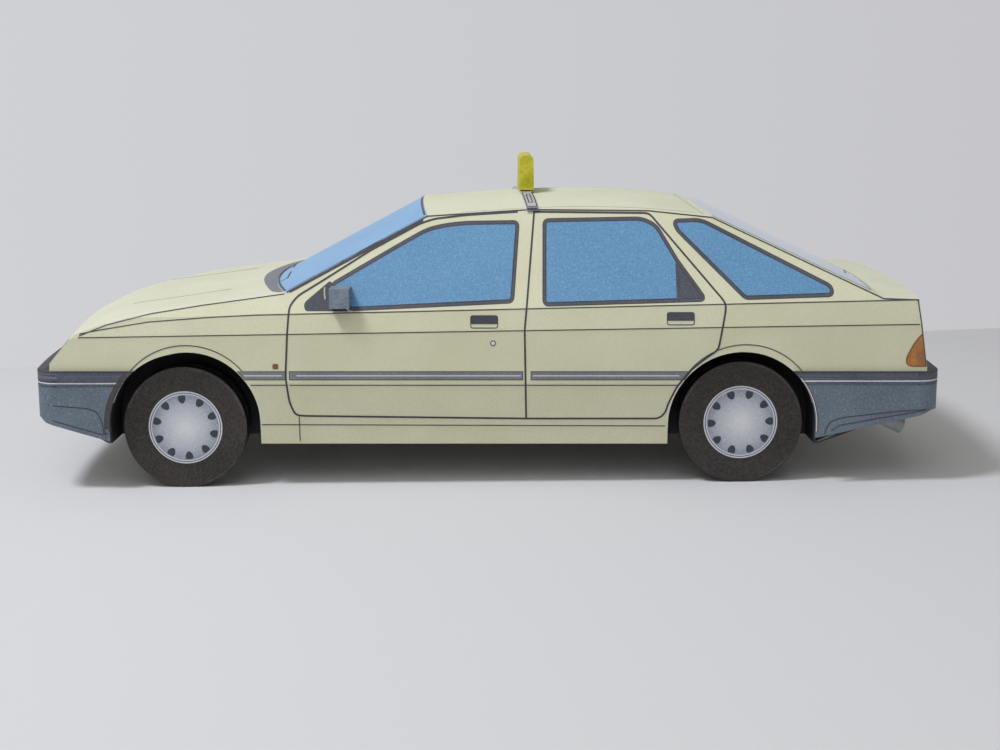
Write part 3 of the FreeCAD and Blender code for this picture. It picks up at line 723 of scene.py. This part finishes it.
# Windscreen: dark lines along its edges, and two printed wipers.
SCREEN_TOP, SCREEN_BOW, SCREEN_HALF = 35.37, 0.86, 13.4  # where the screen meets the roof
across_top = [13.0 - k for k in range(27)]
top_line = [(SCREEN_TOP - SCREEN_BOW * (y / SCREEN_HALF) ** 2, y) for y in across_top]
drawn("screen_side_lines", [stroke([(49.2, s * 17.85), (34.6, s * 13.55)], 0.34) for s in (1, -1)], line_ink,
      0.022, "windscreen")
drawn("screen_base_line", [stroke([(cowl_edge(y) - 0.22, y) for y in across_cowl], 0.22)], frame_ink, 0.018,
      "windscreen")
drawn("screen_top_line", [stroke(top_line, 0.22)], frame_ink, 0.02, "windscreen")
wipers = [[(50.4, 5.6), (50.2, 10.3)], [(50.3, 9.9), (51.0, 10.0)], [(50.9, -4.6), (50.7, 1.2)],
          [(50.8, -4.0), (51.5, -4.1)]]
drawn("screen_wipers", [stroke(line, 0.2) for line in wipers], line_ink, 0.026, "windscreen")

# Rear window: the blue runs up to the roof and close to the side sheets, and ends short of the boot.
rear_pane = [(4.4, 0.0), (3.9, 8.0), (2.75, 13.35), (-13.6, 16.9), (-14.15, 16.5), (-14.75, 8.0),
             (-15.0, 0.0)]
rear_outline = rear_pane + [(x, -y) for x, y in rear_pane[1:-1][::-1]]
ROOF_CREASE = ((3.0, 0), (1, 0))  # where the rear window folds down from the roof
drawn("rear_window_glass", [[rear_outline]], pane_ink, 0.016, ("rear_window", "roof"), folds=(ROOF_CREASE,))
drawn("rear_window_rim",
      [stroke(mirrored([(2.9, 13.4), (-13.6, 16.95), (-14.2, 16.5), (-14.8, 8.0), (-15.05, 0.0)]), 0.14)],
      frame_ink, 0.022, ("rear_window", "roof"))
drawn("rear_wiper", [stroke([(-14.6, 0.6), (-13.1, 8.4)], 0.18)], line_ink, 0.026, "rear_window")

# ---- Nose and tail print
grille = rounded([(-8.6, 13.0), (8.6, 13.0), (8.6, 15.9), (-8.6, 15.9)], 0.5)
nose_band = rounded([(-19.3, 12.75), (19.3, 12.75), (19.15, 13.9), (18.5, 16.0), (-18.5, 16.0),
                     (-19.15, 13.9)], 0.2)
drawn("nose_band", [[nose_band]], bumper_ink, 0.016, "nose_panel")
drawn("grille_print", [[grille]], bumper_dark_ink, 0.022, "nose_panel")
drawn("grille_slats", [stroke([(-8.2, h), (8.2, h)], 0.12) for h in (13.5, 14.1, 14.7, 15.3)], frame_ink,
      0.028, "nose_panel")
for name, s in (("left", 1), ("right", -1)):
    lamp = rounded([(s * 9.4, 13.0), (s * 19.1, 13.2), (s * 18.75, 15.8), (s * 9.4, 15.9)], 0.4)
    drawn(name + "_headlamp", [[lamp]], pale_ink, 0.022, "nose_panel")
    drawn(name + "_headlamp_rim", [stroke(lamp, 0.14, True)], line_ink, 0.028, "nose_panel")
    drawn(name + "_headlamp_ribs",
          [stroke([(s * y, 13.4), (s * y, 15.6)], 0.08) for y in (11, 12.6, 14.2, 15.8)], frame_ink, 0.026,
          "nose_panel")
    tail = rounded([(s * 12.4, 13.2), (s * 19.2, 13.2), (s * 18.9, 16.4), (s * 12.4, 16.4)], 0.4)
    drawn(name + "_tail_lamp", [[tail]], red_ink, 0.018, "tail_panel")
    drawn(name + "_tail_indicator",
          [[rounded([(s * 16.6, 13.35), (s * 19.0, 13.35), (s * 18.8, 16.2), (s * 16.6, 16.2)], 0.2)]],
          lamp_ink, 0.024, "tail_panel")
    drawn(name + "_tail_lamp_rim", [stroke(tail, 0.14, True)], lamp_rim_ink, 0.028, "tail_panel")
plate = rounded([(-4.4, 13.3), (4.4, 13.3), (4.4, 15.4), (-4.4, 15.4)], 0.25)
drawn("rear_plate", [[plate]], pale_ink, 0.022, "tail_panel")
drawn("rear_plate_rim", [stroke(plate, 0.14, True)], line_ink, 0.028, "tail_panel")
drawn("hatch_lines", [stroke([(-18.6, 17.1), (18.6, 17.1)], 0.16),
                      stroke([(-11.6, 16.9), (-11.6, 13.0)], 0.14),
                      stroke([(11.6, 16.9), (11.6, 13.0)], 0.14)], line_ink, 0.026, "tail_panel")
drawn("hatch_lock", [stroke(circle(0, 16.2, 0.3), 0.1, True)], line_ink, 0.026, "tail_panel")

# ---- Roof strap and sign
STRAP_AT, STRAP_TURN = 23.5, radians(3.3)  # its middle from the rear axle, and how far it is askew


def on_strap(along, across):
    """A point on the strap, that far from its middle to the left and that far forwards of its middle line."""
    return (STRAP_AT + across * cos(STRAP_TURN) - along * sin(STRAP_TURN),
            along * cos(STRAP_TURN) + across * sin(STRAP_TURN))


def strap_lines(lines, width):
    """Pen lines on the strap's left half, each with its twin on the right half."""
    return [stroke([on_strap(s * a, t) for a, t in line], width) for line in lines for s in (1, -1)]


STRAP_EDGE = 0.55  # mm from the strap's middle line to its edge lines
drawn("strap_edges", strap_lines([[(5.6, t), (13.6, t)] for t in (STRAP_EDGE, -STRAP_EDGE)], 0.12),
      line_ink, 0.02, "roof_bar")
slot_half = arc(11.6, 0, 0.2, -90, 90, 6) + arc(7.2, 0, 0.2, 90, 270, 6)
drawn("strap_slots", [stroke([on_strap(s * a, t) for a, t in slot_half], 0.13, True) for s in (1, -1)],
      line_ink, 0.02, "roof_bar")
drawn("strap_ticks", strap_lines([[(5.0, t), (5.5, t)] for t in (-0.35, 0.0, 0.35)], THIN),
      line_ink, 0.02, "roof_bar", step=0)
drawn("strap_ends", strap_lines([[(13.55, 0.58), (13.55, -0.58)]], 0.34), frame_ink, 0.022, "roof_bar",
      step=0)

# The sign's top is printed paler: a painted highlight where the top faces the light.
SIGN_AT, SIGN_TURN = 23.25, radians(0.8)
sign_top = [(SIGN_AT + x * cos(SIGN_TURN) - y * sin(SIGN_TURN), y * cos(SIGN_TURN) + x * sin(SIGN_TURN))
            for x, y in ((0.7, -4.6), (0.7, 4.6), (-0.7, 4.6), (-0.7, -4.6))]
drawn("sign_top", [[sign_top]], sign_top_highlight_paint, 0.015, "roof_sign")

# The strap's ends show its board's dark core; the far end is the near one turned about the strap's middle.
STRAP_HEIGHT = 29.5
foot = [(22.14, 29.4), (23.28, 29.4), (23.28, 29.68), (22.14, 29.68)]
near_foot = drawn("near_strap_foot", [[foot]], frame_ink, 0.02, "roof_bar", plane="side", step=0, both=False)
far_foot = copied(near_foot, "far_strap_foot")
strap_middle = TIPPED @ Vector((STRAP_AT, 0, STRAP_HEIGHT))
far_foot.data.transform(Matrix.Translation(strap_middle) @ Matrix.Rotation(pi, 4, LEVEL)
                        @ Matrix.Translation(-strap_middle))
finished(far_foot, "shell", frame_ink)

# ---- Bumper bands: slices of the bumper card, a hair prouder than it
BAND_PROUD = 0.012 * MM
SEAM = 0.001 * MM  # corners of the bumper's skin nearer than this are one


def band(name, source, low_h, high_h, material):
    """The bumper's own skin between two heights of the level body."""
    thing = copied(frame["nodes"][source], name)
    for key in list(thing.keys()):
        del thing[key]
    only(thing)
    bpy.ops.object.parent_clear(type="CLEAR_KEEP_TRANSFORM")
    edit(thing)
    bpy.ops.mesh.remove_doubles(threshold=SEAM)
    for h, upper in ((low_h, False), (high_h, True)):
        bpy.ops.mesh.select_all(action="SELECT")
        bpy.ops.mesh.bisect(plane_co=TIPPED @ Vector((0, 0, h)), plane_no=LEVEL, use_fill=True,
                            clear_outer=upper, clear_inner=not upper)
    bpy.ops.mesh.select_all(action="SELECT")
    bpy.ops.mesh.normals_make_consistent(inside=False)
    bpy.ops.transform.shrink_fatten(value=BAND_PROUD)
    leave()
    thing.material_slots[0].link = "DATA"
    return finished(thing, "shell", material)


bands = {"front": [(12.38, 12.54, line_ink), (12.06, 12.38, bumper_dark_ink),
                   (11.98, 12.06, pale_ink), (11.32, 11.98, bumper_dark_ink),
                   (11.2, 11.32, pale_ink), (10.85, 11.2, bumper_dark_ink)],
         "rear": [(12.4, 12.54, line_ink), (12.12, 12.4, bumper_dark_ink),
                  (12.06, 12.12, line_ink), (11.9, 12.06, frame_ink),
                  (11.84, 11.9, line_ink), (11.62, 11.84, bumper_dark_ink),
                  (11.48, 11.62, pale_ink), (11.1, 11.48, bumper_dark_ink)]}
for end, rows in bands.items():
    for number, (low_h, high_h, material) in enumerate(rows):
        band(f"{end}_bumper_band_{number}", end + "_bumper", low_h, high_h, material)
drawn("rear_bumper_lines",
      [stroke(softened([(-8.9, 5.7), (-9.3, 7.0), (-10.5, 7.5), (-16.4, 8.2), (-19.9, 8.43)], 0.8), THIN),
       stroke([(-9.6, 6.1), (-10.6, 6.7), (-14.9, 7.5), (-19.95, 8.36)], THIN)], line_ink, 0.02,
      "rear_bumper", step=0.4)
drawn("front_bumper_lines",
      [stroke(softened([(75.8, 8.95), (70.6, 8.5), (69.75, 8.1), (69.3, 7.0), (69.15, 5.7)], 0.5), THIN),
       stroke([(75.3, 7.35), (69.2, 5.6)], THIN)], line_ink, 0.02, "front_bumper")
drawn("front_bumper_folds", [stroke(arc(*FRONT_ARCH, 8.19, 44, -11), 0.46)], fold_ink, 0.022, "front_bumper")
drawn("front_bumper_fold_lines",
      [stroke(arc(*FRONT_ARCH, 8.46, 45, -11), 0.08), stroke(arc(*FRONT_ARCH, 8.0, 45, -8), 0.06)], line_ink,
      0.028, "front_bumper")
drawn("rear_bumper_cores", [stroke(arc(*REAR_ARCH, 8.04, 140, 185), 0.08)], bare_card, 0.02, "rear_bumper")
drawn("rear_bumper_fold_lines", [stroke(arc(*REAR_ARCH, 8.16, 138, 185), 0.06)], line_ink, 0.026,
      "rear_bumper")

# ---- Wheels: layers of card, hand-cut, with a printed hubcap
HUB_RADIUS, HUBCAP_THICK, HOLE_REACH = 4.03, 0.02, 3.16  # mm; a hole's middle is that far from the hub
HOLES = 10
hub_turns = {"front": 13.1, "rear": -1.6}  # degrees that each hubcap print is turned
RIM_HIGHLIGHTS = ((96, 168), (20, 44), (215, 250))  # degrees of the rim that carry a painted highlight
LAYER_RADII = (0.994, 0.986, 0.99, 0.984)  # shares of the wheel's radius, from the outer face inwards
LAYER_FILL = 0.97  # share of a layer's depth that its card takes up
RIM_ROUND, RIM_WANDER = 0.07 * MM, 0.02 * MM  # a disc's rounded rim, and how far the scissors strayed
ON_FACE, ON_HUBCAP = 0.004, 0.024  # mm that a print stands off the wheel's printed face


def wheel_shape(name, outlines, hub, face_y, thick, lift):
    """A flat print on the wheel's outer face, on the left wheel."""
    made = []
    for outline in outlines:
        flat = flat_shape(outline)
        flat.matrix_world = (Matrix.Translation((hub.x, face_y + lift * MM, hub.z)) @ AXES["side"]
                             @ Matrix.Scale(MM, 4))
        only(flat)
        bpy.ops.object.transform_apply(location=True, rotation=True, scale=True)
        modify(flat, "SOLIDIFY", thickness=thick * MM, offset=-1, use_even_offset=False)
        outwards(flat)
        made.append(flat)
    return joined(name, made)


def hole(angle):
    """A rounded three-cornered hole of the hubcap, narrow end inwards."""
    x, y = HOLE_REACH * cos(angle), HOLE_REACH * sin(angle)
    corners = [(0.40, 0.41), (0.40, -0.41), (-0.06, -0.43), (-0.47, -0.15), (-0.47, 0.15), (-0.06, 0.43)]
    turned = [(x + u * cos(angle) - v * sin(angle), y + u * sin(angle) + v * cos(angle)) for u, v in corners]
    return rounded(turned, 0.24)


def card_tyre(name, hub, low, high, first_seed):
    """Card discs glued together, each cut by hand, so no rim is quite round."""
    layers = []
    depth = (high.y - low.y) / len(LAYER_RADII)
    for k, radius in enumerate(LAYER_RADII):
        bpy.ops.mesh.primitive_cylinder_add(vertices=64, radius=wheel_radius * MM * radius,
                                            depth=depth * LAYER_FILL,
                                            location=(hub.x, high.y - depth * (k + 0.5), hub.z),
                                            rotation=(pi / 2, 0, 0))
        layer = active()
        bpy.ops.object.transform_apply(location=True, rotation=True, scale=True)
        modify(layer, "BEVEL", width=RIM_ROUND, segments=2, limit_method="ANGLE", angle_limit=radians(50))
        edit(layer)
        bpy.ops.transform.vertex_random(offset=RIM_WANDER, seed=k + first_seed)
        leave()
        layers.append(layer)
    return joined(name, layers)


for end, hub, first_seed in (("front", front_hub, 3), ("rear", rear_hub, 11)):
    body = end + "_axle_set"
    left = end + "_left_"
    face_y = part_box(left + "wheel_face")[1].y
    low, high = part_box(left + "tyre")
    bpy.ops.mesh.primitive_circle_add(vertices=96, radius=HUB_RADIUS * MM, fill_type="NGON", calc_uvs=True,
                                      location=(hub.x, face_y + CLEAR, hub.z), rotation=(-pi / 2, 0, 0))
    disc = active()
    disc.name = left + "hubcap"
    bpy.ops.object.transform_apply(location=True, rotation=True, scale=True)
    modify(disc, "SOLIDIFY", thickness=HUBCAP_THICK * MM, offset=1)
    turn = radians(hub_turns[end])
    rings = [stroke(circle(0, 0, radius, 72), width, True) for radius, width in ((3.95, 0.15), (3.72, 0.13))]
    line = [stroke(circle(0, 0, 3.835, 72), 0.08, True)]
    # Pale arcs on the rim: painted highlights where the disc's edge catches the light.
    rim_highlight_arcs = [stroke(arc(0, 0, 6.5, *span), 0.05) for span in RIM_HIGHLIGHTS]
    holes = [[hole(pi + turn - 2 * pi * k / HOLES)] for k in range(HOLES)]
    pieces = [(disc, hubcap_ink),
              (wheel_shape(left + "hub_rings", rings, hub, face_y, 0.012, ON_HUBCAP), hub_ring_ink),
              (wheel_shape(left + "hub_line", line, hub, face_y, 0.014, ON_HUBCAP), line_ink),
              (wheel_shape(left + "rim_rub", rim_highlight_arcs, hub, face_y, 0.012, ON_FACE), rim_highlight_ink),
              (wheel_shape(left + "hub_holes", holes, hub, face_y, 0.014, ON_HUBCAP), hub_dark_ink),
              (card_tyre(left + "card_tyre", hub, low, high, first_seed), tread_varnish)]
    for thing, material in pieces:
        finished(thing, body, material)
        twin = right_twin(thing, thing.name.replace("_left_", "_right_"), body, material)
    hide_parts(f"{end}_left_tyre")  # the last of them, the tyre
    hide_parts(f"{end}_right_tyre")

# ---- Stage, light and camera
pale = bpy.data.materials.new("pale_paper_floor")
pale.use_nodes = True
pale.node_tree.nodes["Principled BSDF"].inputs["Base Color"].default_value = linear("#d4d4d4")
pale.node_tree.nodes["Principled BSDF"].inputs["Roughness"].default_value = 0.9
bpy.ops.mesh.primitive_plane_add(size=6, location=(0, 0, 0))
floor = active()
floor.name = "floor"
floor.data.materials.append(pale)
floor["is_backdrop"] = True

# Backdrop: a pale sheet that only the eye meets, and only from its front, so it neither lights nor shades
# the model.
BACKDROP_AT, BACKDROP_TURN = (0, -0.0713, 1.5), radians(10.5)
sheet = bpy.data.materials.new("pale_paper_backdrop")
sheet.use_nodes = True
tree = sheet.node_tree
tree.nodes.clear()
place = node(tree, "ShaderNodeTexCoord")
split = node(tree, "ShaderNodeSeparateXYZ", links={"Vector": (place, "Object")})
# The sheet glows, darker from its +x end towards its -x end: a painted fall-off of the studio light.
along = node(tree, "ShaderNodeMapRange", values={"From Min": -0.1, "From Max": 0.1},
             links={"Value": (split, "X")})
painted_light_falloff = node(tree, "ShaderNodeMix", {"data_type": "RGBA"},
             values={"A": linear("#c5c5c9"), "B": linear("#d0d2d6")}, links={"Factor": (along, "Result")})
glow = node(tree, "ShaderNodeEmission", links={"Color": (painted_light_falloff, "Result")})
path, shape = node(tree, "ShaderNodeLightPath"), node(tree, "ShaderNodeNewGeometry")
seen = node(tree, "ShaderNodeMath", {"operation": "MAXIMUM"},
            links={0: (path, "Is Camera Ray"), 1: (path, "Is Glossy Ray")})
front = node(tree, "ShaderNodeMath", {"operation": "SUBTRACT", "use_clamp": True},
             links={0: (seen, "Value"), 1: (shape, "Backfacing")})
clear = node(tree, "ShaderNodeBsdfTransparent")
mixed = node(tree, "ShaderNodeMixShader",
             links={"Fac": (front, "Value"), 1: (clear, "BSDF"), 2: (glow, "Emission")})
node(tree, "ShaderNodeOutputMaterial", links={"Surface": (mixed, "Shader")})
bpy.ops.mesh.primitive_plane_add(size=1, location=(0, 0, 0))
backdrop = active()
backdrop.name = "backdrop"
backdrop.scale = (3.0, 3.0, 1.0)
bpy.ops.object.transform_apply(scale=True)
backdrop.matrix_world = (Matrix.Translation(BACKDROP_AT) @ Matrix.Rotation(BACKDROP_TURN, 4, "Z")
                         @ Matrix.Rotation(-pi / 2, 4, "X"))
backdrop.data.materials.append(sheet)
backdrop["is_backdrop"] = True


def softbox(name, towards, distance, size, energy, colour):
    """A round soft lamp that shines on the model from that direction."""
    bpy.ops.object.light_add(type="AREA", location=Vector(towards).normalized() * distance)
    lamp = active()
    lamp.name, lamp.data.shape, lamp.data.size = name, "DISK", size
    lamp.data.energy, lamp.data.color = energy, linear(colour)[:3]
    lamp.rotation_euler = Vector(towards).to_track_quat("Z", "Y").to_euler()


softbox("key_light", (0.43, 0.27, 0.86), 0.40, 0.085, 1.0, "#f4f6ff")
softbox("fill_light", (0.15, 0.62, 0.77), 1.0, 0.8, 1.78, "#f8f9ff")

world = bpy.data.worlds.new("studio")
bpy.context.scene.world = world
world.use_nodes = True
tree = world.node_tree
tree.nodes.clear()
light_world = node(tree, "ShaderNodeBackground", values={"Color": linear("#fbfaf6"), "Strength": 0.335})
seen_world = node(tree, "ShaderNodeBackground", values={"Color": linear("#cdced2"), "Strength": 1.0})
path = node(tree, "ShaderNodeLightPath")
either = node(tree, "ShaderNodeMath", {"operation": "MAXIMUM"},
              links={0: (path, "Is Camera Ray"), 1: (path, "Is Glossy Ray")})
either = node(tree, "ShaderNodeMath", {"operation": "MAXIMUM"},
              links={0: (either, "Value"), 1: (path, "Is Transmission Ray")})
both = node(tree, "ShaderNodeMixShader",
            links={"Fac": (either, "Value"), 1: (light_world, "Background"), 2: (seen_world, "Background")})
node(tree, "ShaderNodeOutputWorld", links={"Surface": (both, "Shader")})

scene = bpy.context.scene
scene.view_settings.view_transform = "Standard"
camera_data = bpy.data.cameras.new("camera")
camera_data.lens, camera_data.sensor_width = 57.6, 36.0
camera_data.clip_start, camera_data.clip_end = 0.005, 20
camera = bpy.data.objects.new("camera", camera_data)
scene.collection.objects.link(camera)
# Camera: in mm from the floor under the rear axle, with the body level.
CAMERA_PLACE = (26.246, 189.785, 43.448)
down = radians(10.45)
aim = Matrix(((-1, 0, 0), (0, -sin(down), cos(down)), (0, cos(down), sin(down)))).transposed().to_4x4()
place = Matrix.Translation([c * MM for c in CAMERA_PLACE])
camera.matrix_world = TIPPED @ Matrix.Scale(1 / MM, 4) @ place @ aim
scene.camera = camera

low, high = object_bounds()
